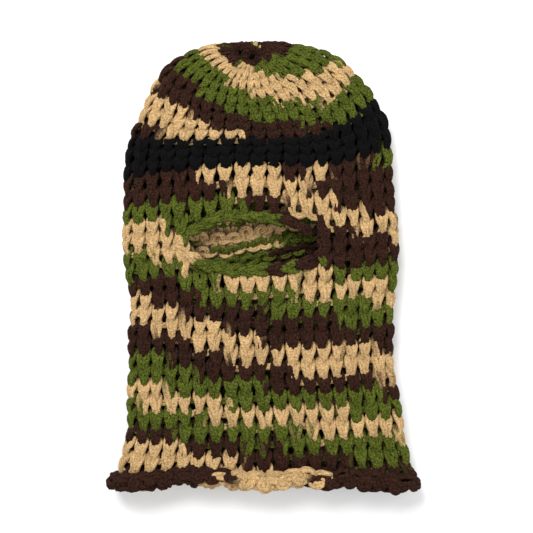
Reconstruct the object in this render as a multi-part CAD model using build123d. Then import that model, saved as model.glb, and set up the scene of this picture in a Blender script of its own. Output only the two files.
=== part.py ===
from build123d import *
import os

# Chunky loom-knitted balaclava in camouflage yarn, laid flat on its back with its face up.
# +Z is up and out of the face, +Y runs from the hem to the crown, +X is to the viewer's right.
# Lengths are in millimetres. Heights below are measured from the hem and centred at the end.

# ---- driving dimensions ----
TOTAL_HEIGHT = 403.0        # hem to top of crown, lying flat
WALL = 8.5                  # thickness of the double-strand fabric
FLAT_THICKNESS = 31.0       # two layers of fabric and the air between them
YARN = 4.0                  # diameter of the two strands held together, pulled tight
PRESSED_FLAT = 0.4          # how much of the back is pressed flat where it rests

# outline of the flat tube: height, left edge, right edge, then how far
# the underside lifts off the ground and how far the top side drops
STATIONS = [
    (14.0, -132.0, 132.0, 0.0, 0.0),
    (32.0, -128.0, 128.0, 0.0, 0.0),
    (52.0, -122.5, 122.5, 0.0, 0.0),
    (82.0, -122.5, 119.5, 0.0, 0.0),
    (112.0, -121.0, 114.0, 0.0, 0.0),
    (140.0, -121.0, 114.0, 0.0, 0.0),
    (168.0, -119.0, 113.5, 0.0, 0.0),
    (190.0, -121.5, 116.0, 0.0, 0.0),
    (216.0, -125.5, 118.5, 0.0, 0.0),
    (244.0, -126.0, 116.5, 0.0, 0.0),
    (286.0, -125.5, 112.5, 0.0, 0.0),
    (307.0, -122.0, 112.0, 0.0, 0.0),
    (328.0, -113.5, 108.0, 0.0, 0.0),
    (350.0, -104.0, 96.5, 0.0, 0.0),
    (371.0, -93.0, 80.0, 0.5, 0.5),
    (385.0, -77.0, 64.0, 2.5, 1.5),
    (395.0, -59.0, 49.0, 6.0, 4.0),
    (TOTAL_HEIGHT, -34.0, 37.0, 11.0, 8.0),
]
CAVITY_TOP = 385.0          # the inside stops here, where the crown is bunched up

# hem: the cast-on edge curls outwards into a soft roll
HEM_ROLL_THICKNESS = 12.0
HEM_ROLL_HEIGHT = 22.0
HEM_ROLL_ROUNDING = 5.5
HEM_LEFT = -137.5
HEM_RIGHT = 137.5
HEM_THICKNESS = 38.0

# levels where one piece of knitting passes into the next
NECK_TOP = 197.0            # just under the lower lip of the eye slit
BROW_BOTTOM = 250.0         # just above the upper lip
BLACK_BOTTOM_LEFT = 280.0
BLACK_BOTTOM_RIGHT = 296.0
BLACK_TOP_LEFT = 318.0
BLACK_TOP_RIGHT = 338.0

# eye slit, as heights and sideways places of its inner edge
SLIT_UPPER = [(-67.0, 230.0), (-14.0, 243.0), (38.0, 239.0)]
SLIT_RIGHT = (48.5, 225.0)
SLIT_LOWER = [(42.0, 210.0), (-10.0, 203.5), (-58.0, 209.5)]
SLIT_LEFT = (-71.0, 220.0)
LIP_WIDTH = 9.0
CORNER_LEFT_X = -60.0       # the corner stitches start outside these two lines
CORNER_RIGHT_X = 40.0

# gathered top
GATHER_X = -11.5
GATHER_HEIGHT = 383.0
GATHER_RADIUS = 13.0
DIMPLE_RADIUS = 9.0
DIMPLE_DEPTH = 7.0
DRAW_RING_RADIUS = 8.0
KNOT_RADIUS = 4.0
KNOT_SETBACK = 12.0         # how far the knot hangs towards the hem from the gather

# yarn ends woven into the inside of the left fold
TAIL_DIAMETER = 5.0
TAIL_LENGTH = 42.0
TAIL_BED = 1.5              # how far a tail is sunk into the fabric

BIG = 400.0                 # half size of the cutting blocks


def tube_section(height, left, right, lift, drop, inset=0.0):
    """One flattened round of the tube, drawn across the Y axis."""
    plane = Plane(
        origin=((left + right) / 2, height, (FLAT_THICKNESS + lift - drop) / 2),
        x_dir=(1, 0, 0),
        z_dir=(0, 1, 0),
    )
    thickness = FLAT_THICKNESS - lift - drop
    return plane * SlotOverall(right - left - 2 * inset, thickness - 2 * inset)


def edges_at(height):
    """Left edge, right edge, lift and drop of the tube at a height."""
    for low, high in zip(STATIONS, STATIONS[1:]):
        if low[0] <= height <= high[0]:
            part = (height - low[0]) / (high[0] - low[0])
            return [a + (b - a) * part for a, b in zip(low[1:], high[1:])]
    return list(STATIONS[0][1:])


def slanted_plane(left_height, right_height):
    """A cutting plane across the tube, facing the crown."""
    left, right, _, _ = edges_at((left_height + right_height) / 2)
    run = right - left
    rise = right_height - left_height
    return Plane(
        origin=(left, left_height, 0),
        x_dir=(run, rise, 0),
        z_dir=(-rise, run, 0),
    )


def band(solid, lower_plane=None, upper_plane=None):
    """The stretch of a solid between two planes that face the crown."""
    if lower_plane is not None:
        solid = split(solid, bisect_by=lower_plane, keep=Keep.TOP)
    if upper_plane is not None:
        solid = split(solid, bisect_by=upper_plane, keep=Keep.BOTTOM)
    return solid


def make_shell():
    """The whole hollow tube with its domed, closed top and its flat resting back."""
    ground = Pos(0, 0, BIG) * Box(2 * BIG, 4 * BIG, 2 * BIG)
    outer = Pos(0, 0, -PRESSED_FLAT) * loft([tube_section(*row) for row in STATIONS]) & ground
    rows = [row for row in STATIONS if row[0] < CAVITY_TOP]
    rows.append((CAVITY_TOP, *edges_at(CAVITY_TOP)))
    inner = loft([tube_section(*row, inset=WALL) for row in rows])
    return outer - inner


def make_hem():
    """The curled cast-on edge: one soft roll right round the bottom of the tube."""
    plane = Plane(
        origin=((HEM_LEFT + HEM_RIGHT) / 2, 0, HEM_THICKNESS / 2),
        x_dir=(1, 0, 0),
        z_dir=(0, 1, 0),
    )
    width = HEM_RIGHT - HEM_LEFT
    outer = extrude(plane * SlotOverall(width, HEM_THICKNESS), HEM_ROLL_HEIGHT)
    both_rolls = 2 * HEM_ROLL_THICKNESS
    mouth = SlotOverall(width - both_rolls, HEM_THICKNESS - both_rolls)
    inner = extrude(plane * mouth, HEM_ROLL_HEIGHT)
    ring = outer - inner
    rims = ring.edges().group_by(Axis.Y)[0] + ring.edges().group_by(Axis.Y)[-1]
    return fillet(rims, HEM_ROLL_ROUNDING)


def slit_outline():
    """The opening for the eyes, as a flat face at ground level."""
    right_end = [SLIT_UPPER[2], SLIT_RIGHT, SLIT_LOWER[0]]
    left_end = [SLIT_LOWER[2], SLIT_LEFT, SLIT_UPPER[0]]
    sides = [ThreePointArc(*points) for points in (SLIT_UPPER, right_end, SLIT_LOWER, left_end)]
    return make_face(Wire(Curve() + sides))


def front_block(face):
    """The flat face carried through the front layer of the fabric only."""
    return extrude(Pos(0, 0, FLAT_THICKNESS / 2) * face, FLAT_THICKNESS)


def block_beside(x, side):
    """A big block on one side of an upright line across the face."""
    return Pos(x + side * BIG, 0, 0) * Box(2 * BIG, 4 * BIG, 2 * BIG)


def make_lips(shell):
    """The chained edge round the eye slit, parted into two lips and two corners."""
    hole = slit_outline()
    ring = shell & front_block(offset(hole, amount=LIP_WIDTH) - hole)
    left_block = block_beside(CORNER_LEFT_X, -1)
    right_block = block_beside(CORNER_RIGHT_X, 1)
    middle = ring - left_block - right_block
    lower, upper = middle.solids().sort_by(Axis.Y)
    return lower, upper, ring & left_block, ring & right_block


def make_gather(crown):
    """The drawn-up top: a puckered disc with a dimple, its draw yarn and the knot inside."""
    surface = FLAT_THICKNESS - edges_at(GATHER_HEIGHT)[3]
    disc = Pos(GATHER_X, GATHER_HEIGHT, surface) * Cylinder(GATHER_RADIUS, FLAT_THICKNESS)
    dimple_middle = surface - DIMPLE_DEPTH / 2 + 0.5
    dimple = Pos(GATHER_X, GATHER_HEIGHT, dimple_middle) * Cone(0.5, DIMPLE_RADIUS, DIMPLE_DEPTH)
    loop = Pos(GATHER_X, GATHER_HEIGHT, surface - DIMPLE_DEPTH) * Torus(DRAW_RING_RADIUS, YARN / 2)
    knot_level = surface - WALL - KNOT_RADIUS + 1.0
    knot = Pos(GATHER_X, GATHER_HEIGHT - KNOT_SETBACK, knot_level) * Sphere(KNOT_RADIUS)
    return (crown & disc) - dimple - loop, loop, knot, crown - disc - loop


def tail(height, length=TAIL_LENGTH):
    """A yarn end run along the inside of the left fold."""
    inset = WALL + TAIL_DIAMETER / 2 - TAIL_BED
    start = Vector(edges_at(height)[0] + inset, height, FLAT_THICKNESS / 2)
    end = Vector(edges_at(height + length)[0] + inset, height + length, FLAT_THICKNESS / 2)
    plane = Plane(origin=start, z_dir=end - start)
    return extrude(plane * Circle(TAIL_DIAMETER / 2), (end - start).length)


def build():
    """Every node of the mask, by name."""
    shell = make_shell()
    hem = make_hem()
    lower_lip, upper_lip, left_corner, right_corner = make_lips(shell)
    hole = slit_outline()
    shell = shell - front_block(offset(hole, amount=LIP_WIDTH))

    hem_top = slanted_plane(HEM_ROLL_HEIGHT, HEM_ROLL_HEIGHT)
    neck_top = slanted_plane(NECK_TOP, NECK_TOP)
    brow_bottom = slanted_plane(BROW_BOTTOM, BROW_BOTTOM)
    black_bottom = slanted_plane(BLACK_BOTTOM_LEFT, BLACK_BOTTOM_RIGHT)
    black_top = slanted_plane(BLACK_TOP_LEFT, BLACK_TOP_RIGHT)

    neck = band(shell, hem_top, neck_top)
    side_panel = band(shell, neck_top, brow_bottom)
    brow = band(shell, brow_bottom, black_bottom)
    black = band(shell, black_bottom, black_top)
    crown = band(shell, black_top)
    gathered_top, draw_yarn, draw_knot, crown = make_gather(crown)

    # the four yarn ends, each by the height where it starts
    tails = {
        "cast_on_tail": tail(30.0),
        "lower_lip_tail": tail(150.0),
        "upper_lip_tail": tail(252.0, 24.0),
        "black_yarn_tail": tail(288.0, 26.0),
    }
    nodes = {
        "hem_roll": hem,
        "neck_tube": neck,
        "eye_level_panel": side_panel,
        "brow_band": brow,
        "black_band": black,
        "crown": crown - draw_knot,
    }
    for woven_end in tails.values():
        nodes = {key: value - woven_end for key, value in nodes.items()}
    nodes.update(
        {
            "lower_lip": lower_lip,
            "upper_lip": upper_lip,
            "left_corner_stitches": left_corner,
            "right_corner_stitches": right_corner,
            "gathered_top": gathered_top - draw_knot,
            "draw_yarn": draw_yarn,
            "draw_yarn_knot": draw_knot,
        }
    )
    nodes.update(tails)
    return nodes


def write(nodes):
    """Centre the mask over its resting place and write one file for each node."""
    os.makedirs("parts", exist_ok=True)
    whole = Compound(children=[Compound(node.solids()) for node in nodes.values()])
    box = whole.bounding_box()
    centring = Pos(-(box.min.X + box.max.X) / 2, -(box.min.Y + box.max.Y) / 2, -box.min.Z)
    print("moved by", centring.position)
    for name, node in nodes.items():
        placed = Compound([centring * solid for solid in node.solids()])
        export_step(placed, f"parts/{name}.step")
        print(name, round(placed.volume / 1000, 2), "cm3", len(placed.solids()), placed.is_valid)


write(build())
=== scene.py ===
import math

import bpy
import numpy as np
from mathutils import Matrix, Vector


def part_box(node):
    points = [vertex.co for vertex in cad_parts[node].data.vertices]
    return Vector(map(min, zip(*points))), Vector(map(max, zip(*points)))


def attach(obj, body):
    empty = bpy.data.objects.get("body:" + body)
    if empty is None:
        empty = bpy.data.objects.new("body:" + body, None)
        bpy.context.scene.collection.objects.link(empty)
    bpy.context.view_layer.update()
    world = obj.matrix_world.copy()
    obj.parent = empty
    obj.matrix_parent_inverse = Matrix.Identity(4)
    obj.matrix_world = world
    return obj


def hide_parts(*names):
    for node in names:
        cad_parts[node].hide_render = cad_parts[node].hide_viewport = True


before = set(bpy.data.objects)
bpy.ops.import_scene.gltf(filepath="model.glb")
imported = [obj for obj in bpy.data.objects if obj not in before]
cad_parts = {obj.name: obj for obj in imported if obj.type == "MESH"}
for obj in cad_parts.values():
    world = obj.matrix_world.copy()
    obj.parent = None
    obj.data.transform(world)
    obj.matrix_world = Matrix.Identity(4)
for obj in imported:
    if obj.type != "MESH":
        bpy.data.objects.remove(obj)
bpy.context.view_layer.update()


# ---------------------------------------------------------------------------
# The rolled hem. The mask is knitted in the round from here up, with two
# strands of soft, chunky, space-dyed yarn held together. The cast-on edge is
# not sewn down: it curls outwards by itself, and the tube grows out of it.
# ---------------------------------------------------------------------------
WALES = 38                      # columns of stitches round the head
COURSES = 36                    # rounds from the cast-on edge to the gather
HEM_COURSES = 3                 # rounds that curl up into the hem roll
FABRIC = 0.0085                 # thickness of the knitted fabric
SIDE_INSET = 0.0032             # how far the folded stitches sit in from the designed sides
FOLD_RUN = 0.0125               # how far the side folds take to turn over
CHART_STEPS = 4                 # chart squares per stitch, each way

hem_low, hem_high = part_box("hem_roll")
tube_low, tube_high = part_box("neck_tube")
crown_low, crown_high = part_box("crown")
hem_line = hem_low.y            # heights are measured from here
tube_top = tube_high.z

OUTLINE_NODES = ["neck_tube", "eye_level_panel", "brow_band", "black_band", "crown"]
OUTLINE_FROM = 0.052            # the sides are read from here up, at every few millimetres
OUTLINE_STEP = 0.004
OUTLINE_REACH = 0.0045


def side_outline():
    """Left and right edge of the designed tube at every few millimetres of height."""
    points = np.concatenate(
        [np.array([v.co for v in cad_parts[name].data.vertices]) for name in OUTLINE_NODES]
    )
    heights = np.arange(OUTLINE_FROM, crown_high.y - hem_line - 0.003, OUTLINE_STEP)
    left, right = [], []
    for height in heights:
        near = points[np.abs(points[:, 1] - hem_line - height) < OUTLINE_REACH]
        left.append(near[:, 0].min())
        right.append(near[:, 0].max())
    return heights, np.array(left), np.array(right)


outline_heights, outline_left, outline_right = side_outline()


def smooth_table(places, values, where):
    """A smooth curve through a few given values."""
    places, values = np.asarray(places, float), np.asarray(values, float)
    slopes = np.gradient(values, places)
    where = np.clip(where, places[0], places[-1])
    i = np.clip(np.searchsorted(places, where) - 1, 0, len(places) - 2)
    span = places[i + 1] - places[i]
    t = (where - places[i]) / span
    a = (1 + 2 * t) * (1 - t) ** 2 * values[i] + t * (1 - t) ** 2 * span * slopes[i]
    b = t * t * (3 - 2 * t) * values[i + 1] + t * t * (t - 1) * span * slopes[i + 1]
    return a + b


def run_along(points):
    """How far along a line each of its points lies."""
    return np.concatenate([[0], np.cumsum(np.linalg.norm(np.diff(points, axis=0), axis=1))])


def path_to_gather(side, start_height, turn_in, steps):
    """Equal steps along the domed edge of the crown and in to the gather."""
    edge = outline_left if side < 0 else outline_right
    keep = outline_heights > start_height
    x = np.concatenate([[np.interp(start_height, outline_heights, edge)], edge[keep]])
    y = np.concatenate([[start_height], outline_heights[keep]])
    dx, dy = np.gradient(x), np.gradient(y)
    length = np.hypot(dx, dy)
    inset = np.stack([x - side * dy / length * SIDE_INSET, y + side * dx / length * SIDE_INSET], 1)
    path = np.concatenate([inset, turn_in])
    run = run_along(path)
    at = np.linspace(0, run[-1], steps + 1)
    return np.interp(at, run, path[:, 0]), np.interp(at, run, path[:, 1])


# Heights of the rounds at the two folds and down the middle of each layer. The
# crown's rounds begin at CROWN_FIRST and follow its domed edge to the gather.
CROWN_FIRST = 26
FOLD_ROUNDS = [3, 23, CROWN_FIRST]
LEFT_HEIGHTS = [0.0220, 0.2784, 0.3169]
RIGHT_HEIGHTS = [0.0220, 0.3004, 0.3485]
LEFT_TURN_IN = [(-0.040, 0.3985), (-0.027, 0.3975), (-0.0165, 0.3920)]
RIGHT_TURN_IN = [(0.012, 0.4005), (0.001, 0.3985), (-0.0065, 0.3920)]
crown_left = path_to_gather(-1, LEFT_HEIGHTS[-1], LEFT_TURN_IN, COURSES - CROWN_FIRST)
crown_right = path_to_gather(1, RIGHT_HEIGHTS[-1], RIGHT_TURN_IN, COURSES - CROWN_FIRST)
crown_rounds = list(range(CROWN_FIRST, COURSES + 1))
FRONT_ROUNDS = [3, 8, 12, 16, 20, 23] + crown_rounds
FRONT_HEIGHTS = [0.0200, 0.0865, 0.1405, 0.1950, 0.2440, 0.2865] + [
    0.3134, 0.3205, 0.3275, 0.3345, 0.3418, 0.3492, 0.3565, 0.3640, 0.3715, 0.3790, 0.3850
]
BACK_ROUNDS = [3, 16, 20, 23] + crown_rounds
BACK_HEIGHTS = [0.0220, 0.1870, 0.2360, 0.2760] + [
    0.3180, 0.3310, 0.3435, 0.3560, 0.3690, 0.3820, 0.3930, 0.3990, 0.3995, 0.3955, 0.3905
]
BACK_LEVEL_ROUNDS = [3, 4.5, 7]
BACK_LEVELS = [0.0120, 0.0070, 0.0056]
CROWN_BACK_LEVELS = [0.0056, 0.0056, 0.0056, 0.0056, 0.0056, 0.0062, 0.0085, 0.0145, 0.0195, 0.0215, 0.0190]
CROWN_FRONT_DROP = [0, 0, 0, 0, 0, 0.0002, 0.0004, 0.0008, 0.0018, 0.0038, 0.0078]
CROWN_SIDE_LIFT = [0, 0, 0, 0, 0, 0, 0.0004, 0.0014, 0.0034, 0.0052, 0.0050]
FRONT_MIDDLE = -0.0026
GATHER_MIDDLE = -0.0115

# each round bends from its middle to its folds, and its front stitches spread
BEND_ROUNDS = [3, 20, 26, 31, 36]
BENDS = [2.5, 3.5, 3.5, 2.3, 2.0]
SPREAD_ROUNDS = [3, 26, 32]
SPREADS = [0.10, 0.10, 0.0]

# the foot of the tube opens out towards the curl
HEM_FLARE = 0.0075
FLARE_FROM = 6.0

# the eye slit spreads the rounds above and below it, and the back lies askew behind it
SLIT_MIDDLE = -0.0110
SLIT_SPREAD = 0.068
SKEW_ROUNDS = [6, 14, 21, 27]
BACK_SKEW = [0, 0.23, 0.23, 0]
SLIT_ROUNDS = [11, 16, 18, 20, 23, 26]
SLIT_PUSH = [0, -0.0035, 0.0000, 0.0035, 0.0020, 0]


def ring_marks(course):
    """Left, front, right and back mark of one round, before it is bent round the tube."""
    side_z = tube_top / 2
    front_z = tube_top - FABRIC / 2
    if course <= CROWN_FIRST:
        left_y = np.interp(course, FOLD_ROUNDS, LEFT_HEIGHTS)
        right_y = np.interp(course, FOLD_ROUNDS, RIGHT_HEIGHTS)
        flare = HEM_FLARE * max(0, (FLARE_FROM - course) / (FLARE_FROM - HEM_COURSES)) ** 1.6
        left_x = np.interp(left_y, outline_heights, outline_left) + SIDE_INSET - flare
        right_x = np.interp(right_y, outline_heights, outline_right) - SIDE_INSET + flare
        back_z = np.interp(course, BACK_LEVEL_ROUNDS, BACK_LEVELS)
    else:
        left_x, left_y = [smooth_table(crown_rounds, values, course) for values in crown_left]
        right_x, right_y = [smooth_table(crown_rounds, values, course) for values in crown_right]
        back_z = smooth_table(crown_rounds, CROWN_BACK_LEVELS, course)
        front_z = front_z - smooth_table(crown_rounds, CROWN_FRONT_DROP, course)
        side_z = side_z + smooth_table(crown_rounds, CROWN_SIDE_LIFT, course)
    middle_x = np.interp(course, [CROWN_FIRST, COURSES], [FRONT_MIDDLE, GATHER_MIDDLE])
    front_y = smooth_table(FRONT_ROUNDS, FRONT_HEIGHTS, course)
    back_y = smooth_table(BACK_ROUNDS, BACK_HEIGHTS, course)
    front, back = (middle_x, front_y, front_z), (middle_x, back_y, back_z)
    return (left_x, left_y), front, (right_x, right_y), back, side_z


def half_ring(course, front):
    """One layer of a round, from the left fold to the right fold, as many close points."""
    left, front_mark, right, back_mark, side_z = ring_marks(course)
    mark = front_mark if front else back_mark
    s = np.linspace(0, 1, 241)
    half = (right[0] - left[0]) / 2
    middle = (left[0] + right[0]) / 2
    x = middle - half * np.cos(math.pi * s)
    from_edge = np.minimum(x - left[0], right[0] - x)
    run = min(FOLD_RUN, half)
    turn = np.sqrt(np.clip(1 - (1 - np.minimum(from_edge, run) / run) ** 2, 0, 1))
    z = side_z + (mark[2] - side_z) * turn
    to_left = np.clip((mark[0] - x) / max(mark[0] - left[0], 1e-4), 0, 1)
    to_right = np.clip((x - mark[0]) / max(right[0] - mark[0], 1e-4), 0, 1)
    bend = np.interp(course, BEND_ROUNDS, BENDS)
    y = mark[1] + (left[1] - mark[1]) * to_left**bend + (right[1] - mark[1]) * to_right**bend
    if front:
        push = smooth_table(SLIT_ROUNDS, SLIT_PUSH, course)
        reach = np.clip((x - SLIT_MIDDLE) / SLIT_SPREAD, -1, 1)
        y = y + push * np.cos(math.pi * reach / 2) ** 2
    else:
        skew = smooth_table(SKEW_ROUNDS, BACK_SKEW, course)
        y = y + skew * (x - SLIT_MIDDLE) * (1 - ((x - middle) / half) ** 2) ** 2
    return np.stack([x, y + hem_line, z], 1)


def spread_evenly(points, count, widening):
    """Points at equal stitches along a line, a little wider apart in its middle."""
    run = run_along(points)
    s = np.linspace(0, 1, count + 1)
    at = (s - widening * np.sin(2 * math.pi * s) / (2 * math.pi)) * run[-1]
    return np.stack([np.interp(at, run, points[:, axis]) for axis in range(3)], 1)


def ring(course):
    """A whole round of the tube: across the front from the left fold, and back round behind."""
    half = WALES // 2 * CHART_STEPS
    front = spread_evenly(half_ring(course, True), half, np.interp(course, SPREAD_ROUNDS, SPREADS))
    back = spread_evenly(half_ring(course, False)[::-1], half, 0.0)
    return np.concatenate([front[:-1], back])


# the curl goes down, outwards, round and back over itself, and its edge waves
ROLL_RADIUS = 0.0058
ROLL_FRONT, ROLL_SIDE, ROLL_BACK = 0.0050, 0.0036, 0.0034
ROLL_CENTRE = 0.0108
ROLL_TURN = math.radians(262)
ROLL_TIGHTENS = 0.10
HEM_WAVE_PLACES = [-0.137, -0.115, -0.075, -0.050, -0.018, 0.010, 0.030, 0.055, 0.072, 0.095, 0.137]
HEM_WAVE_LIFTS = [0.0030, 0.0020, 0.0085, 0.0080, 0.0045, 0.0035, 0.0070, 0.0040, 0.0070, 0.0030, 0.0030]


def roll_ring(course):
    """A round of the hem roll: the foot of the tube carried round the curl."""
    foot = ring(HEM_COURSES)
    along = np.roll(foot, -1, 0) - np.roll(foot, 1, 0)
    along[0] = along[-1] = foot[1] - foot[-2]
    out = np.stack([-along[:, 2], np.zeros(len(foot)), along[:, 0]], 1)
    out /= np.linalg.norm(out, axis=1, keepdims=True)
    depth = np.where(out[:, 2] > 0, ROLL_FRONT, ROLL_BACK)
    reach = ROLL_SIDE * np.abs(out[:, 0]) + depth * np.abs(out[:, 2])
    straight = LEFT_HEIGHTS[0] - ROLL_CENTRE
    travel = (HEM_COURSES - course) / HEM_COURSES * (straight + ROLL_RADIUS * ROLL_TURN)
    points = foot.copy()
    wave = smooth_table(HEM_WAVE_PLACES, HEM_WAVE_LIFTS, foot[:, 0])
    if travel <= straight:
        share = travel / straight
        points[:, 1] = foot[:, 1] * (1 - share) + (hem_line + ROLL_CENTRE) * share + wave * share
        return points
    angle = (travel - straight) / ROLL_RADIUS
    tighter = 1 - ROLL_TIGHTENS * angle / ROLL_TURN
    points += out * (reach * (1 - math.cos(angle)) * tighter)[:, None]
    points[:, 1] = hem_line + ROLL_CENTRE - ROLL_RADIUS * math.sin(angle) * tighter + wave
    return points


def put_in(name, data):
    """Adds one object to the scene."""
    made = bpy.data.objects.new(name, data)
    bpy.context.scene.collection.objects.link(made)
    return made


def chart_mesh(name, rows, wales):
    """A grid mesh over the points, with the stitch chart as its UV map."""
    down, across = rows.shape[:2]
    index = np.arange(down * across).reshape(down, across)
    quads = np.stack([index[:-1, :-1], index[:-1, 1:], index[1:, 1:], index[1:, :-1]], -1).reshape(-1, 4)
    mesh = bpy.data.meshes.new(name)
    mesh.from_pydata(rows.reshape(-1, 3).tolist(), [], quads.tolist())
    u, v = np.meshgrid(np.linspace(0, 1, across), np.linspace(0, 1, down))
    uv = np.stack([u.ravel(), v.ravel()], 1)
    layer = mesh.uv_layers.new(name="chart")
    layer.uv.foreach_set("vector", uv[quads.ravel()].ravel())
    width = np.linalg.norm(np.diff(rows, axis=1), axis=2)
    width = np.concatenate([width, width[:, -1:]], 1) * (across - 1) / wales
    crowd = mesh.attributes.new("stitch_width", "FLOAT", "POINT")
    crowd.data.foreach_set("value", width.ravel())
    mesh.update()
    return put_in(name, mesh)


# The chart runs midway through the fabric, in wales across and courses up. The
# hem has its own, because the curl packs its rounds closer than the flat tube.
HEM_ROWS = 4
chart_courses = np.arange(COURSES * CHART_STEPS + 1) / CHART_STEPS
tube_rows = np.array([roll_ring(c) if c < HEM_COURSES else ring(c) for c in chart_courses])
tube = chart_mesh("tube_chart", tube_rows, WALES)
curl = chart_mesh("curl_chart", tube_rows[:HEM_COURSES * CHART_STEPS + 1], WALES)

# Two strands run side by side through every loop. A loop stands up from the
# round below, leans in at its foot and spreads at its head, so its two legs
# show as a V outside and its arcs show as bars inside.
STRAND = 0.0037                 # diameter of one strand
STRAND_GAP = 0.0026             # distance between the two strands' middles
LOOP_HEIGHT = 0.79              # half the height of a loop, in courses
LOOP_LEAN = 1.35                # how far the legs lean in and out on their way up
LOOP_TUCK = 0.70                # how far the foot of a loop is drawn in
LOOP_DEPTH = 0.0028             # how far the legs stand in front of the arcs
LOOP_OVERLAP = 0.0013           # how far a loop's foot stands in front of the head it comes through
LOOP_SWAY = 0.55                # how far loops stray sideways, in wales
LOOP_RISE = 0.75                # how far they stray up and down, in courses
LOOP_PUFF = 0.0042              # how far they stray in and out
LEG_PLUMP = 0.12                # how much plumper the legs are than the arcs
BACK_LEGS = 0.14                # how much plumper still the pressed legs of the back lie
BACK_SPREAD = 0.85              # how far those legs are spread by their own weight
BACK_CLOSE = 0.45               # how close the strands lie in the arcs inside the back
STRAND_ROLL = 2.4               # how far the two strands roll over each other
LEG_ROLL = 0.35                 # how far they always roll on the way up a leg
LUMPS = 0.42                    # how much a strand swells and thins
LUMP_SCALE = 5.0
FLUFF = 0.0017                  # how lumpy the fluffy surface of a strand is
FLUFF_SCALE = 430
POINTS_PER_STITCH = 22
SIDES = 10
USUAL_WIDTH = 0.0128            # a stitch narrower than this is knitted in thinner yarn
SNUG_POWER, SNUG_LIMIT = 0.6, 1.08
CHART_EDGE = 0.0005             # how close to the edge of a chart a loop may be placed
CARRIED = ["outward", "wale", "course", "strand", "snug", "in_back", "turn"]

STITCH_INPUTS = [
    "Chart wales", "Chart courses", "First wale", "Wales", "First course", "Courses", "Spiral",
    "Strand", "Strand gap", "Loop height", "Loop lean", "Loop tuck", "Loop depth", "Loop overlap",
    "Back legs", "Back spread", "Rests at", "Fluff", "Unevenness", "Seed", "Yarn",
]
STITCH_KINDS = {"Wales": "NodeSocketInt", "Courses": "NodeSocketInt", "Yarn": "NodeSocketMaterial"}


def node(tree, kind, **settings):
    """Adds one node to a tree: "inputs" go to its sockets, and the rest is set on the node."""
    made = tree.nodes.new(kind)
    inputs = settings.pop("inputs", {})
    for key, value in settings.items():
        setattr(made, key, value)
    for socket, content in inputs.items():
        if isinstance(content, bpy.types.NodeSocket):
            tree.links.new(content, made.inputs[socket])
        else:
            made.inputs[socket].default_value = content
    return made


def maths(tree, operation, *values):
    """One number sum in a node tree, from sockets and plain numbers."""
    return node(tree, "ShaderNodeMath", operation=operation, inputs=dict(enumerate(values))).outputs[0]


def vector(tree, operation, *values):
    """One vector sum in a node tree."""
    sockets = [0, "Scale"] if operation == "SCALE" else [0, 1]
    made = node(tree, "ShaderNodeVectorMath", operation=operation, inputs=dict(zip(sockets, values)))
    return made.outputs[0]


def noise(tree, place, scale, detail=1.0):
    """A smooth random number between about -0.5 and 0.5 that follows a place."""
    made = node(tree, "ShaderNodeTexNoise", inputs={"Vector": place, "Scale": scale, "Detail": detail})
    return maths(tree, "SUBTRACT", made.outputs[0], 0.5)


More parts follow.
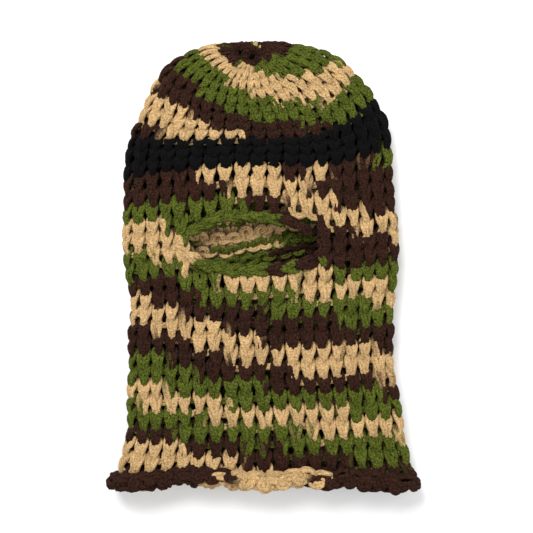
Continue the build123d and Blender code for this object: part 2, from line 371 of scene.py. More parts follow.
def stitch_tree():
    """Geometry nodes that knit loops of two-strand yarn over a stitch chart."""
    tree = bpy.data.node_groups.new("knitting", "GeometryNodeTree")
    tree.interface.new_socket("Geometry", in_out="INPUT", socket_type="NodeSocketGeometry")
    for name in STITCH_INPUTS:
        tree.interface.new_socket(name, in_out="INPUT", socket_type=STITCH_KINDS.get(name, "NodeSocketFloat"))
    tree.interface.new_socket("Geometry", in_out="OUTPUT", socket_type="NodeSocketGeometry")
    given = tree.nodes.new("NodeGroupInput").outputs
    result = tree.nodes.new("NodeGroupOutput")

    def m(operation, *values):
        return maths(tree, operation, *values)

    def add(a, b):
        return m("ADD", a, b)

    def less(a, b):
        return m("SUBTRACT", a, b)

    def over(a, b):
        return m("DIVIDE", a, b)

    def times(first, *others):
        for other in others:
            first = m("MULTIPLY", first, other)
        return first

    def between(low, value, high):
        return m("MINIMUM", m("MAXIMUM", value, low), high)

    def xyz(*parts):
        return node(tree, "ShaderNodeCombineXYZ", inputs=dict(enumerate(parts))).outputs[0]

    def moved(place, by):
        return vector(tree, "ADD", place, by)

    def stored(name, kind="FLOAT"):
        made = node(tree, "GeometryNodeInputNamedAttribute", data_type=kind, inputs={"Name": name})
        return made.outputs["Attribute"]

    # one point for every step along every strand
    row_points = add(times(given["Wales"], POINTS_PER_STITCH), 1)
    count = times(given["Courses"], 2, row_points)
    points = node(tree, "GeometryNodePoints", inputs={"Count": count}).outputs[0]
    index = node(tree, "GeometryNodeInputIndex").outputs[0]
    strand_row = m("FLOOR", over(add(index, 0.5), row_points))
    step = less(index, times(strand_row, row_points))
    course = m("FLOOR", over(add(strand_row, 0.5), 2))
    strand = less(strand_row, times(course, 2))
    stitches = over(step, POINTS_PER_STITCH)
    wale = add(given["First wale"], stitches)
    row = add(given["First course"], course)
    row = add(row, times(given["Spiral"], over(wale, given["Chart wales"])))

    # the loop's own curve, with a slow unevenness from stitch to stitch
    turn = times(less(stitches, 0.5), 2 * math.pi)
    place = xyz(wale, row, given["Seed"])
    uneven = given["Unevenness"]
    sway = times(noise(tree, place, 0.9), uneven, LOOP_SWAY)
    lift = times(noise(tree, moved(place, (7.3, 2.1, 4.0)), 1.1), uneven, LOOP_RISE)
    puff = times(noise(tree, moved(place, (1.7, 9.2, 8.0)), 1.3), uneven, LOOP_PUFF)
    lean = times(given["Loop lean"], m("SINE", times(turn, 2)))
    in_back = times(between(0, less(WALES, wale), 1), between(0, less(wale, WALES / 2), 1))
    drawn_in = less(1.0, times(in_back, given["Back spread"]))
    tuck = times(given["Loop tuck"], m("SINE", turn), drawn_in)
    across = over(less(lean, tuck), 2 * math.pi)
    chart_u = over(add(add(wale, across), sway), given["Chart wales"])
    rise = times(given["Loop height"], m("COSINE", turn))
    chart_v = over(add(add(row, rise), lift), given["Chart courses"])

    # a round closes on itself, and a strip ends at its edges
    closed = times(less(chart_u, m("FLOOR", chart_u)), given["Spiral"])
    ended = times(between(CHART_EDGE, chart_u, 1 - CHART_EDGE), less(1.0, given["Spiral"]))
    spot = xyz(add(closed, ended), between(CHART_EDGE, chart_v, 1 - CHART_EDGE))
    chart = stored("chart", "FLOAT_VECTOR")

    def sample(kind, value):
        where = {"Mesh": given["Geometry"], "Value": value, "Source UV Map": chart, "Sample UV": spot}
        return node(tree, "GeometryNodeSampleUVSurface", data_type=kind, inputs=where).outputs["Value"]

    surface = sample("FLOAT_VECTOR", node(tree, "GeometryNodeInputPosition").outputs[0])
    normal = sample("FLOAT_VECTOR", node(tree, "GeometryNodeInputNormal").outputs[0])
    outward = vector(tree, "NORMALIZE", normal)
    width = over(sample("FLOAT", stored("stitch_width")), USUAL_WIDTH)
    snug = m("MINIMUM", m("POWER", width, SNUG_POWER), SNUG_LIMIT)
    forward = times(given["Loop depth"], times(m("COSINE", times(turn, 2)), -1))
    forward = less(forward, times(given["Loop overlap"], m("COSINE", turn)))
    forward = add(times(forward, snug), puff)
    position = vector(tree, "ADD", surface, vector(tree, "SCALE", outward, forward))
    flow = node(tree, "GeometryNodeSetPosition", inputs={"Geometry": points, "Position": position}).outputs[0]
    carried_values = (outward, wale, add(given["First course"], course), strand, snug, in_back, turn)
    for name, value in zip(CARRIED, carried_values):
        flow = node(
            tree, "GeometryNodeStoreNamedAttribute", domain="POINT",
            data_type="FLOAT_VECTOR" if name == "outward" else "FLOAT",
            inputs={"Geometry": flow, "Name": name, "Value": value},
        ).outputs[0]
    curves = node(
        tree, "GeometryNodePointsToCurves",
        inputs={0: flow, "Curve Group ID": strand_row, "Weight": step},
    ).outputs[0]

    # lay the two strands side by side, rolling a little over each other
    tangent = node(tree, "GeometryNodeInputTangent").outputs[0]
    out = stored("outward", "FLOAT_VECTOR")
    beside = vector(tree, "NORMALIZE", vector(tree, "CROSS_PRODUCT", out, tangent))
    kept_place = xyz(stored("wale"), stored("course"), given["Seed"])
    roll = times(noise(tree, moved(kept_place, (3.0, 5.0, 1.0)), 1.6), STRAND_ROLL)
    roll = add(roll, times(m("SINE", stored("turn")), LEG_ROLL))
    arcs = times(add(m("COSINE", times(stored("turn"), 2)), 1), 0.5)
    closer = less(1.0, times(arcs, stored("in_back"), BACK_CLOSE))
    gap = times(less(stored("strand"), 0.5), given["Strand gap"], stored("snug"), closer)
    sideways = vector(tree, "SCALE", beside, times(gap, m("COSINE", roll)))
    outwards = vector(tree, "SCALE", out, times(gap, m("SINE", roll)))
    shift = vector(tree, "ADD", sideways, outwards)
    doubled = node(tree, "GeometryNodeSetPosition", inputs={"Geometry": curves, "Offset": shift}).outputs[0]

    # spin each strand round its line, plumper on the legs, lumpy and fluffy
    lump_place = moved(kept_place, xyz(0.0, 0.0, times(stored("strand"), 11.0)))
    lump = add(1.0, times(noise(tree, lump_place, LUMP_SCALE, 2.0), LUMPS))
    pressed = times(stored("in_back"), given["Back legs"])
    plump = less(1.0, times(m("COSINE", times(stored("turn"), 2)), add(pressed, LEG_PLUMP)))
    radius = times(times(given["Strand"], 0.5, lump), times(stored("snug"), plump))
    circle = {"Resolution": SIDES, "Radius": 1.0}
    profile = node(tree, "GeometryNodeCurvePrimitiveCircle", inputs=circle).outputs[0]
    tubes = node(
        tree, "GeometryNodeCurveToMesh",
        inputs={"Curve": doubled, "Scale": radius, "Profile Curve": profile, "Fill Caps": True},
    ).outputs[0]
    where = node(tree, "GeometryNodeInputPosition").outputs[0]
    facing = node(tree, "GeometryNodeInputNormal").outputs[0]
    fluff = vector(tree, "SCALE", facing, times(noise(tree, where, FLUFF_SCALE, 2.0), given["Fluff"]))
    fluffy = node(tree, "GeometryNodeSetPosition", inputs={"Geometry": tubes, "Offset": fluff}).outputs[0]

    # nothing sinks below the surface that the mask lies on
    settled = node(tree, "GeometryNodeInputPosition").outputs[0]
    corner = node(tree, "ShaderNodeSeparateXYZ", inputs={0: settled}).outputs
    held_up = xyz(corner[0], corner[1], m("MAXIMUM", corner[2], given["Rests at"]))
    rested = node(tree, "GeometryNodeSetPosition", inputs={"Geometry": fluffy, "Position": held_up})
    resting = rested.outputs[0]
    smooth = node(tree, "GeometryNodeSetShadeSmooth", inputs={0: resting}).outputs[0]
    real = node(tree, "GeometryNodeRealizeInstances", inputs={0: smooth}).outputs[0]
    finish = node(tree, "GeometryNodeSetMaterial", inputs={0: real, "Material": given["Yarn"]}).outputs[0]
    tree.links.new(finish, result.inputs[0])
    return tree


knitting = stitch_tree()

FIBRES, PATCHES, ROUGH_SPOTS = 640, 70, 700   # how fine each pattern in the yarn is
FIBRE_DARK, FIBRE_PALE = 1.0, 0.42            # how strongly the fibres show in dark and pale yarn


def yarn_material(name, colour=None):
    """Soft spun yarn in one colour or in its own dye: tangled fibres and a dusty sheen."""
    material = bpy.data.materials.new(name)
    material.use_nodes = True
    tree = material.node_tree
    shader = tree.nodes["Principled BSDF"]
    place = node(tree, "ShaderNodeTexCoord").outputs["Object"]

    def grain(scale, roughness=0.6):
        inputs = {"Vector": place, "Scale": scale, "Detail": 2, "Roughness": roughness}
        return node(tree, "ShaderNodeTexNoise", inputs=inputs).outputs[0]

    def spread(value, low, high):
        inputs = {"Value": value, "From Min": 0.3, "From Max": 0.7, "To Min": low, "To Max": high}
        return node(tree, "ShaderNodeMapRange", inputs=inputs).outputs[0]

    if colour is None:
        base = node(tree, "ShaderNodeAttribute", attribute_name="dye").outputs["Color"]
    else:
        base = node(tree, "ShaderNodeRGB").outputs[0]
        base.default_value = (*colour, 1)
    paleness = node(tree, "ShaderNodeRGBToBW", inputs={0: base}).outputs[0]
    shown = {"Value": paleness, "From Min": 0.01, "From Max": 0.40}
    shown.update({"To Min": FIBRE_DARK, "To Max": FIBRE_PALE})
    depth = node(tree, "ShaderNodeMapRange", inputs=shown).outputs[0]
    fibres = maths(tree, "ADD", 1.0, maths(tree, "MULTIPLY", spread(grain(FIBRES, 0.65), -1, 1), depth))
    shade = maths(tree, "MULTIPLY", fibres, spread(grain(PATCHES), 0.86, 1.14))
    tree.links.new(vector(tree, "SCALE", base, shade), shader.inputs["Base Color"])
    tree.links.new(spread(grain(ROUGH_SPOTS), 0.86, 1.0), shader.inputs["Roughness"])
    shader.inputs["Specular IOR Level"].default_value = 0.03
    shader.inputs["Sheen Weight"].default_value = 0.02
    shader.inputs["Sheen Roughness"].default_value = 0.7
    bump = node(
        tree, "ShaderNodeBump",
        inputs={"Strength": 1.0, "Distance": 0.0030, "Height": grain(FIBRES, 0.65)},
    ).outputs[0]
    tree.links.new(bump, shader.inputs["Normal"])
    return material


camo_yarn = yarn_material("camo_yarn")

# The yarn is dyed in turns of dark brown, moss green and sand, so each colour
# runs over a few rounds and slopes as it goes. Each row names the colour above
# a line, the round at which the line crosses the front at each of DYE_WALES,
# from the left fold to the right fold, and the round at which it crosses the
# middle of the back on its way down to the left fold.
BROWN = (0.0310, 0.0105, 0.0054)
GREEN = (0.078, 0.097, 0.0100)
SAND = (0.575, 0.375, 0.172)
DYES = {"brown": BROWN, "green": GREEN, "sand": SAND}
DYE_WALES = [0, 4.0, 5.5, 9.5, 12.5, 14.5, 19]
BODY_DYE = [
    ("sand", 3.0, 2.9, 1.6, -1.0, -3.0, -4.0, -6.0, 5.5),
    ("brown", 4.8, 4.3, 3.7, 3.0, 0.6, -0.5, -3.0, 7.2),
    ("green", 6.2, 5.4, 5.1, 4.5, 3.9, 3.4, 2.6, 8.8),
    ("sand", 7.7, 6.8, 6.4, 5.9, 5.5, 5.2, 4.6, 10.0),
    ("green", 9.0, 8.3, 7.8, 7.1, 6.8, 6.5, 5.6, 11.1),
    ("brown", 11.0, 9.8, 9.2, 8.4, 8.2, 8.0, 7.5, 13.0),
    ("sand", 13.3, 11.9, 11.1, 9.9, 9.3, 9.0, 8.5, 13.6),
    ("brown", 14.9, 13.5, 12.7, 11.5, 11.1, 10.9, 10.5, 15.0),
    ("green", 16.2, 15.2, 14.4, 13.3, 12.8, 12.5, 12.1, 16.8),
    ("sand", 17.7, 17.1, 15.4, 14.8, 14.5, 14.3, 13.2, 18.3),
    ("green", 19.5, 19.3, 16.2, 15.8, 15.5, 15.3, 14.4, 20.4),
    ("brown", 20.9, 20.8, 20.7, 20.2, 17.0, 16.5, 16.0, 22.8),
    ("sand", 24.0, 23.5, 22.5, 21.0, 20.3, 19.3, 17.2, 26.0),
    ("brown", 27.0, 26.0, 25.0, 23.2, 21.4, 20.4, 18.6, 28.0),
    ("green", 30.0, 29.0, 28.0, 27.0, 25.5, 24.0, 21.8, 31.0),
]
DYE_TURNS = 6                   # lines before the dye comes round to the same line again
DYE_BLEND = 0.10                # how many rounds one colour takes to fade into the next
DYE_WANDER = 0.14               # how far a line strays from stitch to stitch
BACK_WALES = [22, 28.5]         # just behind the right fold, and the middle of the back
DYE_FALL = 5.0                  # how many rounds a line falls across the back
BACK_TURN = 0.45                # how much of that is still to fall just behind the right fold
LEGS_SHOW = 0.3                 # a loop shows from its foot up, so it reads this much lower


def dye_lines(table, turns):
    """The lines all the way round: those that start at the right fold, then the highest ones."""
    lines = []
    for number, row in enumerate(table):
        front = list(row[1:-1])
        if number >= turns:
            middle, end = table[number - turns][-1], table[number - turns][1]
        else:
            middle, end = front[-1] - DYE_FALL / 2, front[-1] - DYE_FALL
        lines.append((row[0], front + [middle + (front[-1] - middle) * BACK_TURN, middle, end]))
    for row in table[-turns:]:
        high, middle = row[1] + DYE_FALL, row[-1]
        behind = [middle + (high - middle) * BACK_TURN, middle, row[1]]
        lines.append((row[0], [high] * len(DYE_WALES) + behind))
    return lines


def dye_between(table, turns, course, wale, strand):
    """The yarn's colour at a place along its round: the last line below it names the colour."""
    sway = np.sin(1.9 * wale + 2.3 * course) + np.sin(0.83 * wale - 4.1 * course + 1.0)
    level = course + wale / WALES - LEGS_SHOW + DYE_WANDER * sway + 0.03 * (strand - 0.5)
    colour = np.tile(np.array(BROWN), (len(wale), 1))
    for name, line in dye_lines(table, turns):
        crossing = np.interp(np.mod(wale, WALES), DYE_WALES + BACK_WALES + [WALES], line)
        share = np.clip((level - crossing) / DYE_BLEND + 0.5, 0, 1)[:, None]
        colour = colour * (1 - share) + np.array(DYES[name]) * share
    return colour


def body_dye(course, wale, strand):
    """The dye of every round below the black band."""
    return dye_between(BODY_DYE, DYE_TURNS, course, wale, strand)


def hem_dye(course, wale, strand):
    """The curl's rounds counted as the rest of the tube counts them."""
    return body_dye(course * HEM_COURSES / HEM_ROWS, wale, strand)


def lay_dye(mesh, colours):
    """Keeps one colour for every point of the yarn."""
    filled = np.ones((len(mesh.vertices), 4), np.float32)
    filled[:, :3] = colours
    layer = mesh.attributes.new("dye", "FLOAT_COLOR", "POINT")
    layer.data.foreach_set("color", filled.ravel())


def fasten(piece, replaces):
    """Every piece rides on the one soft body of the mask, and the designed parts it replaces are hidden."""
    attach(piece, "root")
    if replaces:
        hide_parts(*replaces)


def knit(name, chart, yarn, replaces, first_wale, wales, first_course, courses, dye=body_dye, **changes):
    """One named stretch of knitting over a chart, as a plain mesh."""
    values = {
        "Chart wales": WALES, "Chart courses": COURSES,
        "First wale": first_wale, "Wales": wales,
        "First course": first_course, "Courses": courses, "Spiral": 1.0,
        "Strand": STRAND, "Strand gap": STRAND_GAP,
        "Loop height": LOOP_HEIGHT, "Loop lean": LOOP_LEAN, "Loop tuck": LOOP_TUCK,
        "Loop depth": LOOP_DEPTH, "Loop overlap": LOOP_OVERLAP,
        "Back legs": BACK_LEGS, "Back spread": BACK_SPREAD,
        "Rests at": 0.0002, "Fluff": FLUFF, "Unevenness": 1.0, "Seed": 3.0, "Yarn": yarn,
    }
    values.update(changes)
    form = put_in(name + "_form", chart.data.copy())
    modifier = form.modifiers.new("knitting", "NODES")
    modifier.node_group = knitting
    sockets = {s.name: s.identifier for s in knitting.interface.items_tree if s.in_out == "INPUT"}
    for label, value in values.items():
        modifier[sockets[label]] = value if label in STITCH_KINDS else float(value)
    mesh = bpy.data.meshes.new_from_object(form.evaluated_get(bpy.context.evaluated_depsgraph_get()))
    mesh.name = name
    bpy.data.objects.remove(form)
    piece = put_in(name, mesh)
    if dye:
        kept = []
        for label in ("course", "wale", "strand"):
            kept.append(np.zeros(len(mesh.vertices), np.float32))
            mesh.attributes[label].data.foreach_get("value", kept[-1])
        lay_dye(mesh, dye(*kept))
    for label in CARRIED:
        if label in mesh.attributes:
            mesh.attributes.remove(mesh.attributes[label])
    fasten(piece, replaces)


knit(
    "hem_roll_knit", curl, camo_yarn, ["hem_roll"], 0, WALES, 0.3, HEM_ROWS - 1, hem_dye,
    **{
        "Chart courses": HEM_ROWS, "Strand": 0.0043, "Strand gap": 0.0031,
        "Loop height": 0.74, "Loop depth": 0.0024, "Unevenness": 1.9,
    },
)
bpy.data.objects.remove(curl)


# ---------------------------------------------------------------------------
# The neck tube. Plain rounds in the same dyed yarn from the hem up to the eye
# slit, the longest stretch of the mask. It is knitted on from the hem, and is
# kept here as three lengths, one on top of another.
# ---------------------------------------------------------------------------
knit("neck_tube_lower", tube, camo_yarn, ["neck_tube"], 0, WALES, 2.5, 5)
knit("neck_tube_middle", tube, camo_yarn, [], 0, WALES, 7.5, 4)
knit("neck_tube_upper", tube, camo_yarn, [], 0, WALES, 11.5, 5)


# ---------------------------------------------------------------------------
# The eye-level rows. The same yarn, knitted to and fro between the corners of
# the slit and round the back, so these are the only rows that do not close
# into a round. One length runs right of the slit and round, one left of it.
# ---------------------------------------------------------------------------
SLIT_LEFT_WALE, SLIT_RIGHT_WALE = 5, 13
EYE_COURSE, EYE_COURSES = 16.5, 4
knit(
    "eye_level_right", tube, camo_yarn, ["eye_level_panel"],
    SLIT_RIGHT_WALE, WALES - SLIT_RIGHT_WALE, EYE_COURSE, EYE_COURSES,
)
knit("eye_level_left", tube, camo_yarn, [], 0, SLIT_LEFT_WALE, EYE_COURSE, EYE_COURSES)


# ---------------------------------------------------------------------------
# The lips of the eye slit. Each is a chain of stitches along the edge, the
# lower one cast off and plumper, the upper one cast on again; a few stitches
# in the same yarn close each corner.
# ---------------------------------------------------------------------------
def strip_chart(name, marks, width, courses):
    """A narrow chart along a smooth line through a few marks, one wale wide."""
    marks = np.array(marks, float)
    run = run_along(marks)
    at = np.linspace(0, run[-1], (courses + 1) * CHART_STEPS + 1)
    line = np.stack([smooth_table(run, marks[:, axis], at) for axis in range(3)], 1)
    along = np.gradient(line, axis=0)
    along /= np.linalg.norm(along, axis=1, keepdims=True)
    across = np.stack([along[:, 1], -along[:, 0], np.zeros(len(line))], 1)
    across /= np.linalg.norm(across, axis=1, keepdims=True)
    sides = np.linspace(-0.5, 0.5, 2 * CHART_STEPS + 1)
    rows = line[:, None, :] + across[:, None, :] * (sides * width)[None, :, None]
    rows[:, :, 2] -= (sides**2 * width * 0.5)[None, :]
    return chart_mesh(name, rows, 1)


def chain(name, replaces, marks, width, courses, colours, seed):
    """A chain of stitches along a strip, its colours given by how far along they begin."""
    chart = strip_chart(name + "_chart", marks, width, courses)
    places = np.array([place for place, _ in colours])
    shades = np.array([DYES[shade] for _, shade in colours])

    def chain_dye(course, wale, strand):
        share = course / (courses + 1) + 0.012 * np.sin(9.0 * course + 5.0 * strand)
        return shades[np.clip(np.searchsorted(places, share) - 1, 0, len(places) - 1)]

    knit(
        name, chart, camo_yarn, replaces, 0, 1, 1.0, courses, chain_dye,
        **{"Chart wales": 1, "Chart courses": courses + 1, "Spiral": 0.0, "Seed": seed},
    )
    bpy.data.objects.remove(chart)


def marks_in(node_name, shares, level):
    """Marks inside a designed piece's box, by their shares of its width and height."""
    low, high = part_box(node_name)
    wide, tall = high.x - low.x, high.y - low.y
    return [(low.x + wide * across, low.y + tall * up, level) for across, up in shares]


LIP_LEVEL = tube_top - 0.0040
UPPER_LIP = [
    (-0.16, -0.12), (0.03, 0.25), (0.16, 0.62), (0.45, 0.74), (0.70, 0.58), (0.87, 0.34), (1.02, -0.10)
]
UPPER_LIP_COLOURS = [(0.0, "sand"), (0.10, "green"), (0.80, "brown")]
upper_marks = marks_in("upper_lip", UPPER_LIP, LIP_LEVEL)
chain("upper_lip_chain", ["upper_lip"], upper_marks, 0.0105, 9, UPPER_LIP_COLOURS, 5.0)

LOWER_LIP = [(-0.06, 0.78), (0.15, 0.48), (0.45, 0.28), (0.75, 0.40), (1.06, 1.02)]
LOWER_LIP_COLOURS = [(0.0, "green"), (0.62, "brown"), (0.74, "green"), (0.88, "brown")]
lower_marks = marks_in("lower_lip", LOWER_LIP, LIP_LEVEL + 0.0006)
chain("lower_lip_chain", ["lower_lip"], lower_marks, 0.0125, 8, LOWER_LIP_COLOURS, 8.0)

LEFT_HORN = [(-0.10, 0.22), (0.12, 0.48), (0.42, 0.78)]
LEFT_FOOT = [(-0.10, 0.55), (0.42, 0.34), (1.20, 0.10)]
RIGHT_ARC = [(0.55, 0.92), (0.72, 0.50), (0.30, 0.12)]
horn_marks = marks_in("left_corner_stitches", LEFT_HORN, LIP_LEVEL)
foot_marks = marks_in("left_corner_stitches", LEFT_FOOT, LIP_LEVEL + 0.001)
arc_marks = marks_in("right_corner_stitches", RIGHT_ARC, LIP_LEVEL)
chain("left_corner_horn", ["left_corner_stitches"], horn_marks, 0.0100, 2, [(0.0, "sand")], 11.0)
chain("left_corner_foot", [], foot_marks, 0.0100, 2, [(0.0, "sand")], 12.0)
chain("right_corner_arc", ["right_corner_stitches"], arc_marks, 0.0110, 3, [(0.0, "brown")], 13.0)


# ---------------------------------------------------------------------------
# The brow band. Three rounds of the dyed yarn that close the tube again over
# the eye slit, knitted on from the upper lip and the eye-level rows.
# ---------------------------------------------------------------------------
knit("brow_band_knit", tube, camo_yarn, ["brow_band"], 0, WALES, 20.5, 3)


# ---------------------------------------------------------------------------
# The black band. Three rounds in plain black yarn of the same kind, tied in
# where the dyed yarn leaves off and taken up by it again above.
# ---------------------------------------------------------------------------
BLACK = (0.0014, 0.0012, 0.0012)
black_yarn = yarn_material("black_yarn", BLACK)
knit("black_band_knit", tube, black_yarn, ["black_band"], 0, WALES, 23.5, 3, None)


# ---------------------------------------------------------------------------
# The crown. Plain rounds in the dyed yarn again, crowding closer as they are
# drawn in over the dome to the gather. It is kept here as two lengths.
# ---------------------------------------------------------------------------
CROWN_DYE = [
    ("sand", 27.3, 26.0, 25.0, 24.0, 23.4, 23.0, 22.0, 28.0),
    ("brown", 29.4, 28.4, 27.5, 26.2, 25.0, 24.0, 23.0, 30.2),
    ("green", 31.2, 30.4, 29.8, 28.3, 27.3, 26.6, 25.7, 32.0),
    ("sand", 32.7, 32.9, 32.6, 31.4, 29.8, 28.6, 27.5, 33.0),
    ("green", 33.4, 33.9, 34.3, 34.8, 32.9, 31.4, 29.6, 33.3),
    ("brown", 33.9, 34.2, 34.6, 35.4, 34.8, 34.3, 33.0, 33.6),
]
CROWN_TURNS = 3


def crown_dye(course, wale, strand):
    """The dye of every round above the black band."""
    return dye_between(CROWN_DYE, CROWN_TURNS, course, wale, strand)


knit("crown_lower", tube, camo_yarn, ["crown"], 0, WALES, 26.5, 5, crown_dye)
knit("crown_upper", tube, camo_yarn, [], 0, WALES, 31.5, 4, crown_dye)
bpy.data.objects.remove(tube)


# ---------------------------------------------------------------------------
# The gathered top. The last round of loops hangs on a drawn yarn and is
# pulled into a pucker, so the stitches turn down into a small dimple.
# ---------------------------------------------------------------------------
GATHER_WALES, GATHER_COURSES = 12, 3
GATHER_MOUTH, GATHER_THROAT = 0.0100, 0.0022
GATHER_LIFT = 0.0055            # the pucker sits a little towards the top of its designed seat
GATHER_RIPPLE = 0.0009
gather_low, gather_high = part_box("gathered_top")
gather_x = (gather_low.x + gather_high.x) / 2
gather_y = (gather_low.y + gather_high.y) / 2 + GATHER_LIFT


def pucker_chart():
    """A little funnel of stitches: over the rim and down into the dimple."""
    rows = []
    for share in np.linspace(0, 1, GATHER_COURSES * CHART_STEPS + 1):
        radius = GATHER_MOUTH + (GATHER_THROAT - GATHER_MOUTH) * share
        level = gather_high.z - 0.0065 - 0.0050 * share**2 - 0.0030 * (1 - share) ** 3
        angle = math.pi - np.linspace(0, 2 * math.pi, GATHER_WALES * CHART_STEPS + 1)
        ripple = GATHER_RIPPLE * np.sin(angle * 5 + 1.0) * (1 - share)
        x, y = gather_x + radius * np.cos(-angle), gather_y + radius * np.sin(-angle)
        rows.append(np.stack([x, y, level + ripple], 1))
    return chart_mesh("pucker_chart", np.array(rows), GATHER_WALES)


def gather_dye(course, wale, strand):
    """Dark at the pucker."""
    return np.tile(np.array(BROWN), (len(course), 1))


pucker = pucker_chart()
knit(
    "gathered_stitches", pucker, camo_yarn, ["gathered_top"], 0, GATHER_WALES, 0.9, 2, gather_dye,
    **{
        "Chart wales": GATHER_WALES, "Chart courses": GATHER_COURSES,
        "Strand": 0.0030, "Strand gap": 0.0026, "Seed": 17.0,
    },
)
bpy.data.objects.remove(pucker)


# ---------------------------------------------------------------------------
# The draw yarn and its knot. Two strands twisted together, threaded through
# the last loops, pulled tight and knotted inside the crown.
# ---------------------------------------------------------------------------
def twisted_yarn(name, replaces, line, yarn, colour, radius, turns_per_metre=60, closed=False):
    """Two strands twisted round a line, swept as one closed mesh."""
    line = np.array(line, float)
    along = np.roll(line, -1, 0) - np.roll(line, 1, 0) if closed else np.gradient(line, axis=0)
    along /= np.linalg.norm(along, axis=1, keepdims=True)
    run = run_along(line)
    first = np.cross(along, np.array([0.13, 0.21, 0.97]))
    first /= np.linalg.norm(first, axis=1, keepdims=True)
    second = np.cross(along, first)
    turns = round(run[-1] * turns_per_metre) / run[-1] if closed else turns_per_metre
    rings = len(line) if closed else len(line) - 1
    vertices, faces = [], []
    for strand in (0, 1):
        twist = 2 * math.pi * turns * run + math.pi * strand
        aside = first * np.cos(twist)[:, None] + second * np.sin(twist)[:, None]
        middle = line + aside * radius * 0.85
        start = len(vertices)
        for i in range(len(line)):
            for side in range(SIDES):
                angle = 2 * math.pi * side / SIDES
                spoke = first[i] * math.cos(angle) + second[i] * math.sin(angle)
                vertices.append(middle[i] + spoke * radius)
        for i in range(rings):
            low, high = start + i * SIDES, start + (i + 1) % len(line) * SIDES
            for side in range(SIDES):
                after = (side + 1) % SIDES
                faces.append((low + side, low + after, high + after, high + side))
        if not closed:
            faces.append(tuple(start + side for side in reversed(range(SIDES))))
            faces.append(tuple(start + (len(line) - 1) * SIDES + side for side in range(SIDES)))
    mesh = bpy.data.meshes.new(name)
    mesh.from_pydata([tuple(v) for v in vertices], [], faces)
    mesh.polygons.foreach_set("use_smooth", [True] * len(faces))
    lay_dye(mesh, np.tile(np.array(colour), (len(vertices), 1)))
    mesh.materials.append(yarn)
    mesh.update()
    fasten(put_in(name, mesh), replaces)


draw_low, draw_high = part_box("draw_yarn")
draw_radius = (draw_high.x - draw_low.x) / 2 - 0.0020
draw_level = (draw_low.z + draw_high.z) / 2
draw_line = [
    (gather_x + draw_radius * math.cos(a), gather_y + draw_radius * math.sin(a), draw_level)
    for a in np.linspace(0, 2 * math.pi, 48, endpoint=False)
]
twisted_yarn("drawn_yarn", ["draw_yarn"], draw_line, camo_yarn, BROWN, 0.0011, 90, closed=True)

KNOT_REACH = 0.0011
knot_low, knot_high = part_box("draw_yarn_knot")
knot_middle = (knot_low + knot_high) / 2
knot_line = []
for a in np.linspace(0, 2 * math.pi, 60, endpoint=False):
    knot_line.append((
        knot_middle.x + KNOT_REACH * (math.sin(a) + 1.1 * math.sin(2 * a)),
        knot_middle.y + KNOT_REACH * (math.cos(a) - 1.1 * math.cos(2 * a)),
        knot_middle.z - KNOT_REACH * 1.1 * math.sin(3 * a),
    ))
twisted_yarn("drawn_yarn_knot", ["draw_yarn_knot"], knot_line, camo_yarn, BROWN, 0.0009, 120, closed=True)


# ---------------------------------------------------------------------------
# The woven-in ends. Wherever the yarn begins, ends or changes, its tail is
# run a little way through the inside of the left fold and left there.
# ---------------------------------------------------------------------------
def tail_line(name):
    """The middle line of a woven-in end, read from its designed rod."""
    points = np.array([v.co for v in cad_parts[name].data.vertices])
    order = np.argsort(points[:, 1])
    few = max(4, len(order) // 10)
    start, end = points[order[:few]].mean(0), points[order[-few:]].mean(0)
    share = np.linspace(0.03, 0.97, 24)[:, None]
    return start * (1 - share) + end * share + np.array([0.0006, 0, 0]) * np.sin(9 * share)


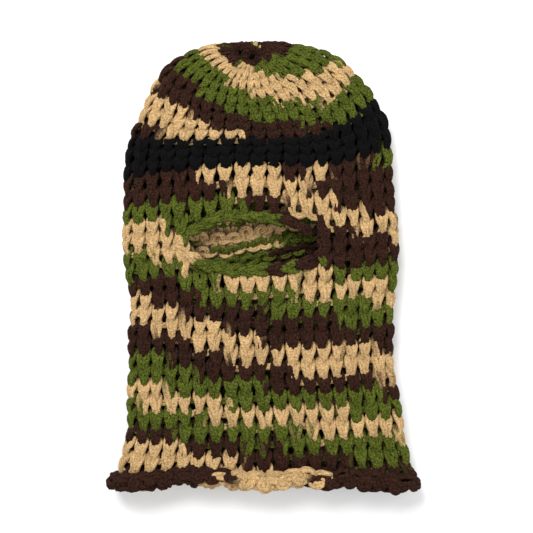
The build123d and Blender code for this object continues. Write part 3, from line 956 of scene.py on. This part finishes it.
TAIL_STRAND = 0.0013            # half the thickness of one strand of a tail
for tail, yarn, colour in (
    ("cast_on_tail", camo_yarn, BROWN),
    ("lower_lip_tail", camo_yarn, GREEN),
    ("upper_lip_tail", camo_yarn, SAND),
    ("black_yarn_tail", black_yarn, BLACK),
):
    twisted_yarn(tail + "_yarn", [tail], tail_line(tail), yarn, colour, TAIL_STRAND)


# ---------------------------------------------------------------------------
# The studio: a plain pale floor, soft light from above and a camera that
# looks straight down on the mask.
# ---------------------------------------------------------------------------
VIEW_HEIGHT = 0.468             # what the picture's height covers on the mask
LENS = 85.0
SENSOR = 36.0
FLOOR_REACH = 6.0

floor_mesh = bpy.data.meshes.new("floor")
floor_corners = [(-FLOOR_REACH, -FLOOR_REACH, 0), (FLOOR_REACH, -FLOOR_REACH, 0)]
floor_corners += [(FLOOR_REACH, FLOOR_REACH, 0), (-FLOOR_REACH, FLOOR_REACH, 0)]
floor_mesh.from_pydata(floor_corners, [], [(0, 1, 2, 3)])
floor = put_in("floor", floor_mesh)
floor_paint = bpy.data.materials.new("floor_paint")
floor_paint.use_nodes = True
floor_shader = floor_paint.node_tree.nodes["Principled BSDF"]
floor_shader.inputs["Base Color"].default_value = (0.95, 0.95, 0.95, 1)
floor_shader.inputs["Roughness"].default_value = 0.9
floor_mesh.materials.append(floor_paint)


def lamp(name, place, size, power):
    """A soft square light, aimed at the mask."""
    light = bpy.data.lights.new(name, "AREA")
    light.size = size
    light.energy = power
    holder = put_in(name, light)
    holder.location = place
    holder.rotation_euler = (-Vector(place)).to_track_quat("-Z", "Y").to_euler()


lamp("key_light", (-0.5, 1.0, 1.5), 0.9, 34)
lamp("fill_light", (1.1, -0.5, 1.3), 1.4, 11)
world = bpy.data.worlds.new("studio")
world.use_nodes = True
world.node_tree.nodes["Background"].inputs["Color"].default_value = (1, 1, 1, 1)
world.node_tree.nodes["Background"].inputs["Strength"].default_value = 0.62
bpy.context.scene.world = world

distance = VIEW_HEIGHT / 2 / (SENSOR / 2 / LENS)
camera = bpy.data.cameras.new("camera")
camera.lens = LENS
camera.sensor_width = SENSOR
viewer = put_in("camera", camera)
viewer.location = (0.0013, 0.0009, tube_top + distance)
bpy.context.scene.camera = viewer
bpy.context.scene.view_settings.view_transform = "Standard"
